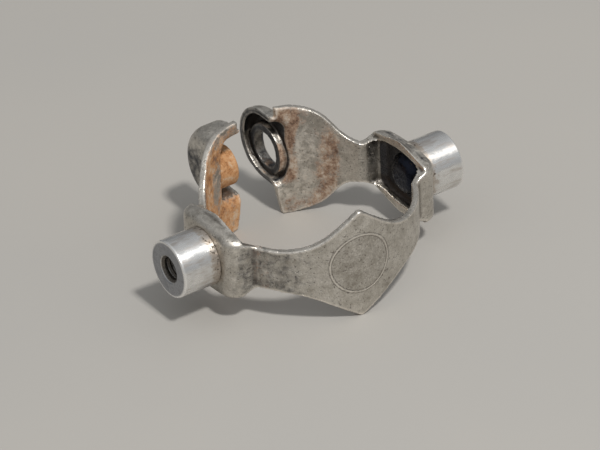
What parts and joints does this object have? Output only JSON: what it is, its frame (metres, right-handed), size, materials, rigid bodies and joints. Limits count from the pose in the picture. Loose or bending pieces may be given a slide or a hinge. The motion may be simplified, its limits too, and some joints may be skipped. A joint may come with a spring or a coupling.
{
  "type": "lever boss band clamp",
  "caption": "Pressed steel band clamp for a round tube, with a plain front shield, two tapped lever bosses and hooded ears for a clamp screw.",
  "frame": {"origin": "centre of the tube bore, half way along the bosses' height", "axes": "+Z along the tube, +X along the boss axis towards the boss on the screw collar's side, +Y towards the gap between the ears, so the shield faces -Y"},
  "size_m": [0.0468, 0.0379, 0.0177],
  "materials": {
    "band_steel": "aged nickel plate, mottled, with rust inside the ears",
    "boss_steel": "polished, light pitting at the base",
    "nut_steel": "turned steel with surface rust"
  },
  "bodies": {
    "root": {"clamp_band": "band_steel", "left_lever_boss": "boss_steel", "right_lever_boss": "boss_steel", "clamp_nut": "nut_steel"}
  },
  "joints": []
}
